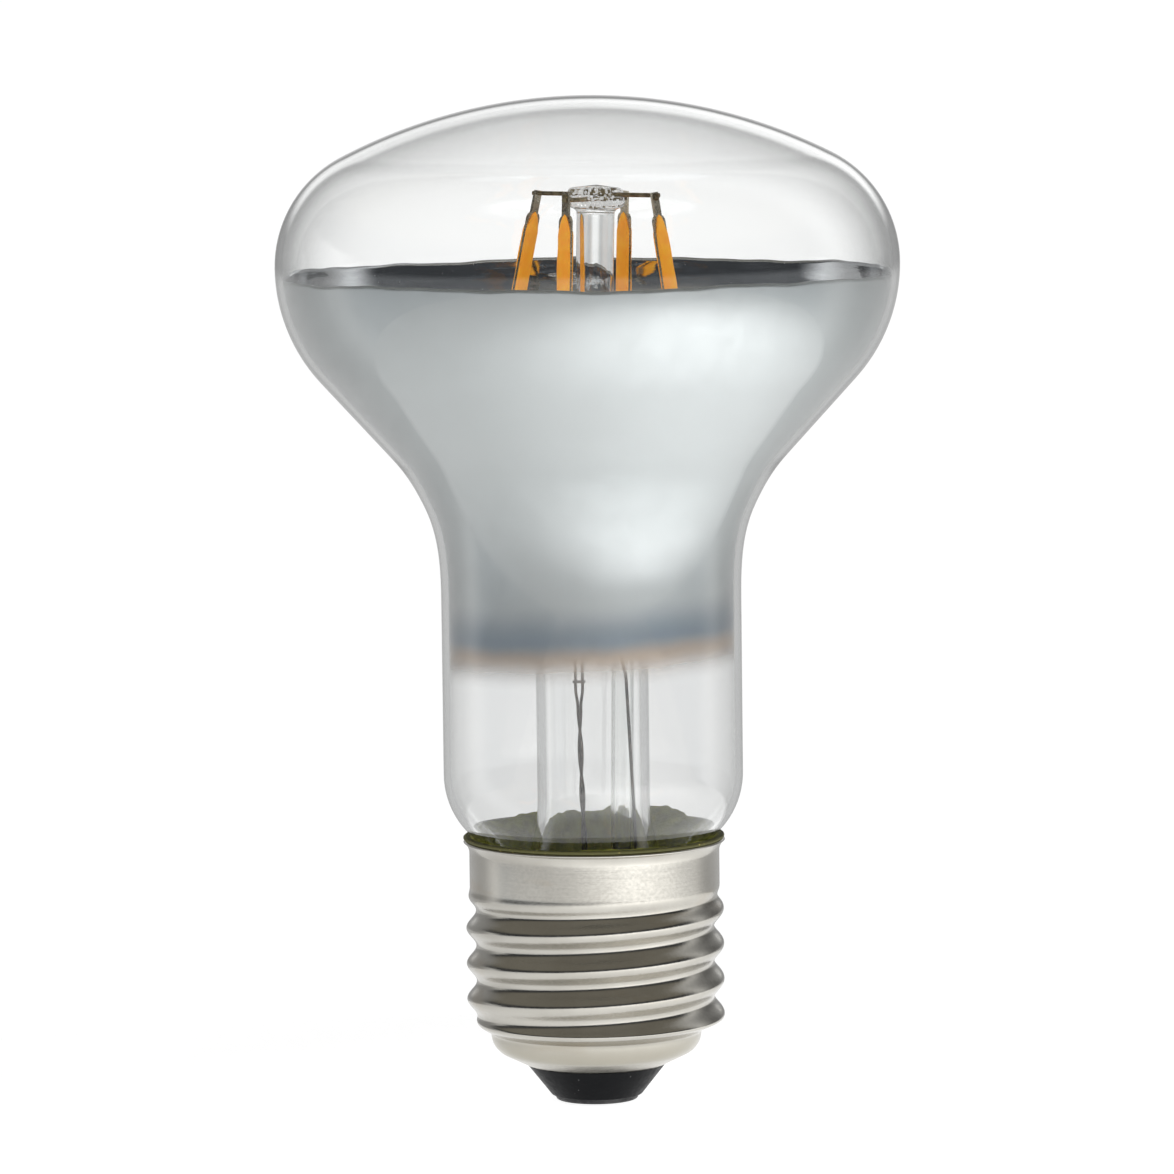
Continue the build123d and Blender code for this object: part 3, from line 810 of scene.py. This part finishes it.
class Paint:
    """Adds and links nodes in one material or world."""

    def __init__(self, tree):
        self.tree = tree

    def node(self, kind, sockets=(), **settings):
        made = self.tree.nodes.new("ShaderNode" + kind)
        for key, value in settings.items():
            setattr(made, key, value)
        for socket, value in dict(sockets).items():
            self.put(made.inputs[socket], value)
        return made

    def put(self, socket, value):
        if isinstance(value, bpy.types.NodeSocket):
            self.tree.links.new(value, socket)
        else:
            socket.default_value = value

    def place(self, stretch=(1, 1, 1)):
        """Position on the part, stretched for a directional grain."""
        spot = self.node("TexCoord").outputs["Object"]
        return self.node("Mapping", {"Vector": spot, "Scale": stretch}).outputs[0]

    def axes(self):
        """X, Y and Z of the position on the part."""
        return self.node("SeparateXYZ", {"Vector": self.node("TexCoord").outputs["Object"]}).outputs

    def height(self):
        return self.axes()["Z"]

    def noise(self, size, detail=3.0, stretch=(1, 1, 1)):
        """Noise with features of about the given size in metres."""
        sockets = {"Vector": self.place(stretch), "Scale": 1 / size, "Detail": detail}
        return self.node("TexNoise", sockets).outputs[0]

    def specks(self, size):
        sockets = {"Vector": self.place(), "Scale": 1 / size}
        return self.node("TexVoronoi", sockets).outputs["Distance"]

    def ramp(self, value, low, high, to_low=0.0, to_high=1.0):
        sockets = {0: value, 1: low, 2: high, 3: to_low, 4: to_high}
        return self.node("MapRange", sockets, interpolation_type="SMOOTHSTEP").outputs[0]

    def between(self, share, pair):
        """Goes from the first of a pair of values to the second."""
        return self.ramp(share, 0.0, 1.0, *pair)

    def maths(self, operation, first, second):
        return self.node("Math", {0: first, 1: second}, operation=operation).outputs[0]

    def times(self, first, second):
        return self.maths("MULTIPLY", first, second)

    def plus(self, first, second):
        return self.maths("ADD", first, second)

    def minus(self, first, second):
        return self.maths("SUBTRACT", first, second)

    def over(self, first, second):
        """1 where the first is greater than the second, else 0."""
        return self.maths("GREATER_THAN", first, second)

    def blend(self, factor, low, high):
        sockets = {0: factor, 6: low, 7: high}
        return self.node("Mix", sockets, data_type="RGBA").outputs[2]

    def bump(self, height, distance, strength=1.0):
        sockets = {"Height": height, "Distance": distance, "Strength": strength}
        return self.node("Bump", sockets).outputs[0]


def material(name, **sockets):
    """Principled material with plain values set on its sockets; returns it with its paint and shader."""
    made = bpy.data.materials.new(name)
    made.use_nodes = True
    shader = made.node_tree.nodes["Principled BSDF"]
    for key, value in sockets.items():
        shader.inputs[key.replace("_", " ")].default_value = value
    return made, Paint(made.node_tree), shader


def rgb(red, green, blue):
    return (red, green, blue, 1.0)


def glass(name, tint, density):
    """Clear glass that darkens a little with the way through it."""
    made, paint, _ = material(
        name, Base_Color=rgb(0.99, 0.99, 0.99), Roughness=0.0, IOR=1.5, Transmission_Weight=1.0
    )
    dark = paint.node("VolumeAbsorption", {"Color": rgb(*tint), "Density": density}).outputs[0]
    paint.put(made.node_tree.nodes["Material Output"].inputs["Volume"], dark)
    return made


def bubbles():
    """Fine gas bubbles in the melted button, which scatter a little light and carry a painted white glow."""
    made, _, _ = material(
        "bubbles",
        Base_Color=rgb(0.9, 0.9, 0.9),
        Roughness=0.6,
        Alpha=0.6,
        # Painted glow: the bubbles give off a little white light of their own.
        Emission_Color=rgb(1, 1, 1),
        Emission_Strength=0.3,
    )
    return made


def film_level(paint):
    """Height above the film's slanting, uneven foot."""
    axes = paint.axes()
    slant = paint.times(axes["X"], -film_foot_tilt)
    uneven = paint.times(paint.noise(film_foot_patch, 3), film_foot_wave)
    level = paint.plus(axes["Z"], paint.plus(slant, uneven))
    return paint.minus(level, film_bottom + film_fade_rise)


def film_outside():
    """Aluminium seen through the glass: satin silver that thins to a peach veil at its foot, with a painted
    dark blue-grey reflection band between silver and veil.
    """
    made, paint, shader = material("film_outside", Metallic=1.0)
    level = film_level(paint)
    silver = paint.blend(paint.noise(14 * mm, 4), rgb(0.60, 0.635, 0.64), rgb(0.63, 0.66, 0.665))
    # Painted reflection: a dark blue-grey band between veil and silver stands in for the dark room that the
    # throat mirrors.
    veil_and_painted_dark = paint.blend(paint.ramp(level, *film_dark_span), rgb(0.74, 0.58, 0.44), rgb(0.29, 0.345, 0.40))
    colour = paint.blend(paint.ramp(level, *film_silver_span), veil_and_painted_dark, silver)
    paint.put(shader.inputs["Base Color"], colour)
    paint.put(shader.inputs["Roughness"], paint.ramp(paint.noise(2 * mm, 5), 0.3, 0.7, 0.47, 0.50))
    paint.put(shader.inputs["Alpha"], paint.ramp(level, film_fade_start, film_fade))
    return made


def film_inside():
    """Bare face of the film: a dark mirror with waves, streaks and specks."""
    made, paint, shader = material("film_inside", Metallic=1.0)
    streak = paint.noise(1.6 * mm, 4, (0.25, 0.25, 2.2))
    speck = paint.ramp(paint.specks(0.9 * mm), 0.10, 0.02)
    base = paint.blend(paint.ramp(streak, 0.45, 0.75), rgb(0.70, 0.72, 0.74), rgb(0.84, 0.86, 0.88))
    paint.put(shader.inputs["Base Color"], base)
    rough = paint.plus(paint.ramp(streak, 0.5, 0.8, 0.02, 0.07), paint.times(speck, 0.4))
    paint.put(shader.inputs["Roughness"], rough)
    wave = paint.noise(6 * mm, 2, (0.5, 0.5, 1.5))
    texture = paint.plus(wave, paint.times(streak, 0.06))
    paint.put(shader.inputs["Normal"], paint.bump(texture, 0.25 * mm, 0.5))
    paint.put(shader.inputs["Alpha"], paint.ramp(film_level(paint), 0.0, film_fade))
    return made


def phosphor():
    """Grainy orange gel with paler spots that scatters a little light in it, and a painted orange glow."""
    made, paint, shader = material(
        "phosphor",
        Roughness=0.55,
        Subsurface_Weight=0.25,
        Subsurface_Scale=0.3 * mm,
        Subsurface_Radius=(1.0, 0.5, 0.1),
        # Painted glow: the gel gives off a little orange light of its own.
        Emission_Color=rgb(1.0, 0.42, 0.03),
        Emission_Strength=0.32,
    )
    cloud = paint.noise(1.8 * mm, 4)
    grain = paint.noise(0.14 * mm, 4)
    warm = paint.blend(paint.ramp(cloud, 0.35, 0.65), rgb(0.92, 0.32, 0.015), rgb(0.98, 0.44, 0.02))
    spot = paint.ramp(paint.specks(0.35 * mm), 0.16, 0.05)
    colour = paint.blend(paint.times(spot, 0.45), warm, rgb(0.95, 0.62, 0.16))
    paint.put(shader.inputs["Base Color"], colour)
    paint.put(shader.inputs["Normal"], paint.bump(grain, 0.05 * mm, 0.8))
    return made


def metal(name, dark, light, rough, size, bump=0.0):
    """Mottled metal between two colours with uneven roughness."""
    made, paint, shader = material(name, Metallic=1.0)
    cloud = paint.noise(size, 5)
    paint.put(shader.inputs["Base Color"], paint.blend(paint.ramp(cloud, 0.3, 0.7), rgb(*dark), rgb(*light)))
    patch = paint.noise(size * 0.4, 4)
    paint.put(shader.inputs["Roughness"], paint.ramp(patch, 0.3, 0.7, rough * 0.8, rough * 1.25))
    if bump:
        paint.put(shader.inputs["Normal"], paint.bump(paint.noise(size * 0.3, 4), bump))
    return made


def nickel():
    """Rolled nickel plate: satin, with a fine orange peel, drawn lines, brownish stains and a darkening
    towards the bottom.
    """
    made, paint, shader = material("nickel", Metallic=1.0)
    cloud = paint.noise(6 * mm, 5)
    stain = paint.ramp(paint.noise(9 * mm, 4, (1, 1, 2.5)), 0.58, 0.75)
    plate = paint.blend(paint.ramp(cloud, 0.3, 0.7), rgb(0.42, 0.405, 0.367), rgb(0.475, 0.46, 0.42))
    colour = paint.blend(paint.times(stain, 0.5), plate, rgb(0.42, 0.367, 0.29))
    # Darker towards the bottom of the cap.
    low = paint.ramp(paint.height(), *cap_darkening_span, 0.0, cap_darkening)
    colour = paint.blend(low, colour, rgb(0.33, 0.305, 0.235))
    paint.put(shader.inputs["Base Color"], colour)
    peel = paint.noise(0.35 * mm, 3)
    drawn = paint.noise(0.22 * mm, 4, (0.05, 0.05, 1.0))
    rough = paint.plus(paint.ramp(peel, 0.3, 0.7, 0.13, 0.20), paint.times(drawn, 0.08))
    paint.put(shader.inputs["Roughness"], rough)
    texture = paint.plus(peel, paint.times(drawn, 0.6))
    paint.put(shader.inputs["Normal"], paint.bump(texture, 0.006 * mm))
    return made


def cement():
    """Olive basing cement with yellowish grains, darker where it is squeezed out on the rim."""
    made, paint, shader = material("cement", Roughness=0.75)
    cloud = paint.noise(2.2 * mm, 5)
    olive = paint.blend(paint.ramp(cloud, 0.3, 0.7), rgb(0.17, 0.175, 0.012), rgb(0.34, 0.345, 0.035))
    grain = paint.ramp(paint.specks(0.5 * mm), 0.22, 0.08)
    pick = paint.ramp(paint.noise(1.5 * mm, 2), 0.42, 0.55)
    reach = paint.node("VectorMath", {0: paint.place((1, 1, 0))}, operation="LENGTH").outputs["Value"]
    rim_radius, rim_height = rim_edge
    outward = paint.ramp(reach, rim_radius - 6 * cement_bead, rim_radius - 2 * cement_bead)
    downward = paint.ramp(paint.height(), rim_height + 3 * cement_bead, rim_height + 2 * cement_bead)
    squeezed = paint.times(outward, downward)
    olive = paint.blend(squeezed, olive, rgb(0.075, 0.072, 0.016))
    colour = paint.blend(paint.times(grain, pick), olive, rgb(0.46, 0.37, 0.09))
    paint.put(shader.inputs["Base Color"], colour)
    paint.put(shader.inputs["Normal"], paint.bump(paint.noise(0.3 * mm, 5), 0.12 * mm))
    return made


def black_glass():
    """Dull black glass with a little dust."""
    made, paint, shader = material("black_glass", Specular_IOR_Level=0.06)
    dust = paint.ramp(paint.specks(1.1 * mm), 0.07, 0.02)
    cloud = paint.blend(paint.noise(3 * mm, 4), rgb(0.003, 0.0033, 0.004), rgb(0.007, 0.0075, 0.0085))
    paint.put(shader.inputs["Base Color"], paint.blend(dust, cloud, rgb(0.25, 0.25, 0.25)))
    paint.put(shader.inputs["Roughness"], paint.ramp(paint.noise(0.5 * mm, 4), 0.3, 0.7, 0.30, 0.45))
    paint.put(shader.inputs["Normal"], paint.bump(paint.noise(0.5 * mm, 3), 0.02 * mm))
    return made


def moulded(name, dark, light, rough):
    """Matt moulded or coated surface with a fine grain."""
    made, paint, shader = material(name)
    cloud = paint.noise(1.2 * mm, 4)
    paint.put(shader.inputs["Base Color"], paint.blend(cloud, rgb(*dark), rgb(*light)))
    paint.put(shader.inputs["Roughness"], paint.ramp(cloud, 0.3, 0.7, rough * 0.85, rough * 1.15))
    paint.put(shader.inputs["Normal"], paint.bump(paint.noise(0.15 * mm, 3), 0.01 * mm))
    return made


def finishes():
    """Every material by the record's slot."""
    return {
        "clear_glass": glass("clear_glass", (0.5, 0.58, 0.54), 20),
        "mirror_film": film_outside(),
        "phosphor": phosphor(),
        "strip_metal": metal("strip_metal", (0.55, 0.48, 0.36), (0.74, 0.68, 0.55), 0.28, 0.8 * mm),
        "led_chip": moulded("led_chip", (0.10, 0.11, 0.14), (0.16, 0.17, 0.2), 0.35),
        "wire": metal("wire", (0.16, 0.12, 0.06), (0.48, 0.40, 0.24), 0.34, 0.7 * mm, 0.01 * mm),
        "oxidised_wire": metal(
            "oxidised_wire", (0.05, 0.04, 0.035), (0.19, 0.155, 0.13), 0.5, 0.6 * mm, 0.02 * mm
        ),
        "cement": cement(),
        "nickel_shell": nickel(),
        "insulator": black_glass(),
        # Painted shade: the contact is coloured near black, darker than its grey solder.
        "contact": metal("contact", (0.05, 0.05, 0.052), (0.10, 0.10, 0.10), 0.42, 1.6 * mm, 0.03 * mm),
        "board": moulded("board", (0.02, 0.10, 0.045), (0.03, 0.14, 0.06), 0.5),
        "capacitor": moulded("capacitor", (0.015, 0.015, 0.018), (0.03, 0.03, 0.035), 0.4),
        "package": moulded("package", (0.018, 0.018, 0.02), (0.03, 0.03, 0.032), 0.6),
        "resistor": moulded("resistor", (0.18, 0.23, 0.30), (0.26, 0.32, 0.40), 0.5),
    }


def dress_packed_nodes(looks):
    """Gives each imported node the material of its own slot."""
    for part in frame["record"]["subparts"]:
        node = frame["nodes"][part["node"]]
        node.data.materials.clear()
        node.data.materials.append(looks[part["material_slot"]])


def build_pieces(looks):
    glass_envelope(glass("blown_glass", (0.5, 0.56, 0.53), 110))
    mirror_film(looks["mirror_film"], film_inside())
    stem_flare(looks["clear_glass"])
    stem_pillar(looks["clear_glass"], bubbles())
    exhaust_tube(glass("tube_glass", (0.5, 0.54, 0.48), 260))
    for number in range(1, filament_count + 1):
        filament_phosphor(number, looks["phosphor"])
    weld_nubs(looks["wire"])
    twisted_lead(looks["oxidised_wire"])
    screw_shell(looks["nickel_shell"])
    cement_ring(looks["cement"])
    insulator(looks["insulator"])


def floor():
    """Pale round floor with a soft pool of light before the lamp; seen through glass it is dimmer."""
    share = np.linspace(0, 1, floor_rows)
    outline = np.stack([floor_radius * share, np.full_like(share, -floor_gap)], 1)
    grid = lathe(outline, floor_steps) + np.array([*floor_centre, 0])
    mesh = bpy.data.meshes.new("floor")
    faces = grid_faces(len(outline), floor_steps, False, 0)
    mesh.from_pydata(grid.reshape(-1, 3).tolist(), [], faces.tolist())
    merge_poles(mesh)
    made = bpy.data.objects.new("floor", mesh)
    bpy.context.scene.collection.objects.link(made)
    finish, paint, shader = material("floor", Roughness=0.9, Emission_Color=rgb(1, 1, 1))
    shades = [rgb(shade, shade, shade) for shade in floor_shades]
    paint.put(shader.inputs["Base Color"], paint.blend(paint.noise(floor_cloud, 2), *shades))
    spot = paint.node("TexCoord").outputs["Object"]
    reach = paint.node("VectorMath", {0: spot, 1: pool_centre}, operation="DISTANCE").outputs["Value"]
    glow = paint.ramp(reach, pool_radius, 0.0, floor_glow, floor_glow + pool_light)
    rays = paint.node("LightPath").outputs
    through = paint.over(rays["Transmission Depth"], 0.5)
    through = paint.times(through, paint.maths("LESS_THAN", rays["Glossy Depth"], 0.5))
    glow = paint.node("Mix", {0: through, 2: glow, 3: floor_through}).outputs[0]
    paint.put(shader.inputs["Emission Strength"], glow)
    mesh.materials.append(finish)


def backdrop(paint, axes, facing, rise):
    """Share of the lit backdrop, and its level with that of the dimmer walls beside it."""
    sideways = paint.maths("ABSOLUTE", axes["X"], 0.0)
    sides = {0: rise, 2: paint.ramp(sideways, *low_sides), 3: paint.ramp(sideways, *high_sides)}
    lit = paint.times(paint.node("Mix", sides).outputs[0], paint.ramp(axes["Z"], *backdrop_top))
    lit = paint.times(lit, paint.ramp(facing, *backdrop_facing))
    brighter = [full - low for full, low in zip(backdrop_levels, dim_levels)]
    level = paint.plus(paint.between(rise, dim_levels), paint.times(lit, paint.between(rise, brighter)))
    brighter = [full - low for full, low in zip(side_levels, dim_levels)]
    side = paint.times(paint.between(rise, brighter), paint.ramp(facing, ring_in, ring_full))
    beside = paint.ramp(sideways, *side_glow_span, 0.0, side_glow)
    beside = paint.times(beside, paint.ramp(facing, *side_glow_facing))
    return lit, paint.plus(paint.plus(level, side), beside)


def bright_ring(paint, axes, facing):
    """Level of the ring above the backdrop, weaker on the left."""
    ring = paint.times(paint.ramp(facing, ring_in, ring_full), paint.ramp(facing, ring_out, ring_fade))
    ring = paint.times(ring, paint.ramp(axes["Z"], *ring_rise, 0.0, ring_light))
    return paint.times(ring, paint.ramp(axes["X"], *ring_turn, left_share, 1.0))


def mirrored_loss(paint, axes, facing, rise, glossy):
    """Share that reflections lose of what stands behind the lamp, more of it on the right."""
    behind = paint.times(glossy, paint.ramp(facing, *behind_facing))
    right = paint.times(rise, paint.ramp(axes["X"], *right_span, 0.0, right_loss))
    kept = paint.minus(paint.between(rise, back_shares), right)
    return paint.times(behind, paint.minus(1.0, kept))


def dark_room(paint, axes, glossy):
    """Room before the lamp that reflections alone see: its share, and its colour by height."""
    leftward = paint.times(paint.ramp(axes["X"], *room_left_span), paint.ramp(axes["Z"], *room_left_rise))
    depth = paint.minus(axes["Y"], paint.times(leftward, room_left_reach))
    room = paint.blend(paint.ramp(axes["Z"], *room_rise), rgb(*room_low), rgb(*room_high))
    room = paint.blend(paint.ramp(axes["Z"], *roof_rise), room, rgb(*room_roof))
    return paint.times(glossy, paint.ramp(depth, *room_depth)), room


def studio_world():
    """White backdrop for the camera; reflections see a dim room with a bright ring above the backdrop."""
    world = bpy.data.worlds.new("studio")
    bpy.context.scene.world = world
    world.use_nodes = True
    world.cycles.sampling_method = "NONE"
    paint = Paint(world.node_tree)
    way = paint.node("TexCoord").outputs["Generated"]
    axes = paint.node("SeparateXYZ", {"Vector": way}).outputs
    view = (0, math.cos(camera_tilt), -math.sin(camera_tilt))
    facing = paint.node("VectorMath", {0: way, 1: view}, operation="DOT_PRODUCT").outputs["Value"]
    rise = paint.ramp(axes["Z"], *backdrop_rise)
    rays = paint.node("LightPath").outputs
    glossy = paint.over(rays["Glossy Depth"], 0.5)
    again = paint.over(rays["Glossy Depth"], 1.5)
    scattered = paint.over(rays["Diffuse Depth"], 0.5)
    lit, level = backdrop(paint, axes, facing, rise)
    lost = mirrored_loss(paint, axes, facing, rise, glossy)
    level = paint.times(level, paint.minus(1.0, lost))
    clear = paint.times(paint.minus(1.0, glossy), paint.minus(1.0, lit))
    level = paint.plus(level, paint.times(clear, edge_glow))
    level = paint.plus(level, bright_ring(paint, axes, facing))
    before, room = dark_room(paint, axes, glossy)
    grey = paint.node("CombineColor", {0: level, 1: level, 2: level}).outputs[0]
    seen = paint.blend(before, grey, room)
    seen = paint.blend(paint.times(again, 1 - again_share), seen, rgb(0, 0, 0))
    seen = paint.blend(scattered, seen, rgb(open_level, open_level, open_level))
    colour = paint.blend(rays["Is Camera Ray"], seen, rgb(backdrop_seen, backdrop_seen, backdrop_seen))
    paint.put(world.node_tree.nodes["Background"].inputs["Color"], colour)


def camera():
    """Camera fitted to the photograph: a little higher than the lamp, and tilted down."""
    data = bpy.data.cameras.new("camera")
    data.sensor_width = sensor_width
    data.lens = camera_focal_pixels / photo_width * sensor_width
    data.clip_start = camera_clip
    made = bpy.data.objects.new("camera", data)
    turn = Matrix.Rotation(camera_yaw, 4, "Z") @ Matrix.Rotation(math.pi / 2 - camera_tilt, 4, "X")
    turn = turn @ Matrix.Rotation(-camera_roll, 4, "Z")
    made.matrix_world = Matrix.Translation((0, -camera_distance, camera_height)) @ turn
    bpy.context.scene.collection.objects.link(made)
    bpy.context.scene.camera = made


def light_paths():
    """Enough bounces to see through the nested glass, and plain display of the light."""
    scene = bpy.context.scene
    scene.cycles.max_bounces = 40
    scene.cycles.transmission_bounces = 40
    scene.cycles.glossy_bounces = 10
    scene.cycles.diffuse_bounces = 4
    scene.cycles.transparent_max_bounces = 24
    scene.cycles.sample_clamp_indirect = 8
    scene.view_settings.view_transform = "Standard"


looks = finishes()
dress_packed_nodes(looks)
build_pieces(looks)
floor()
studio_world()
camera()
light_paths()
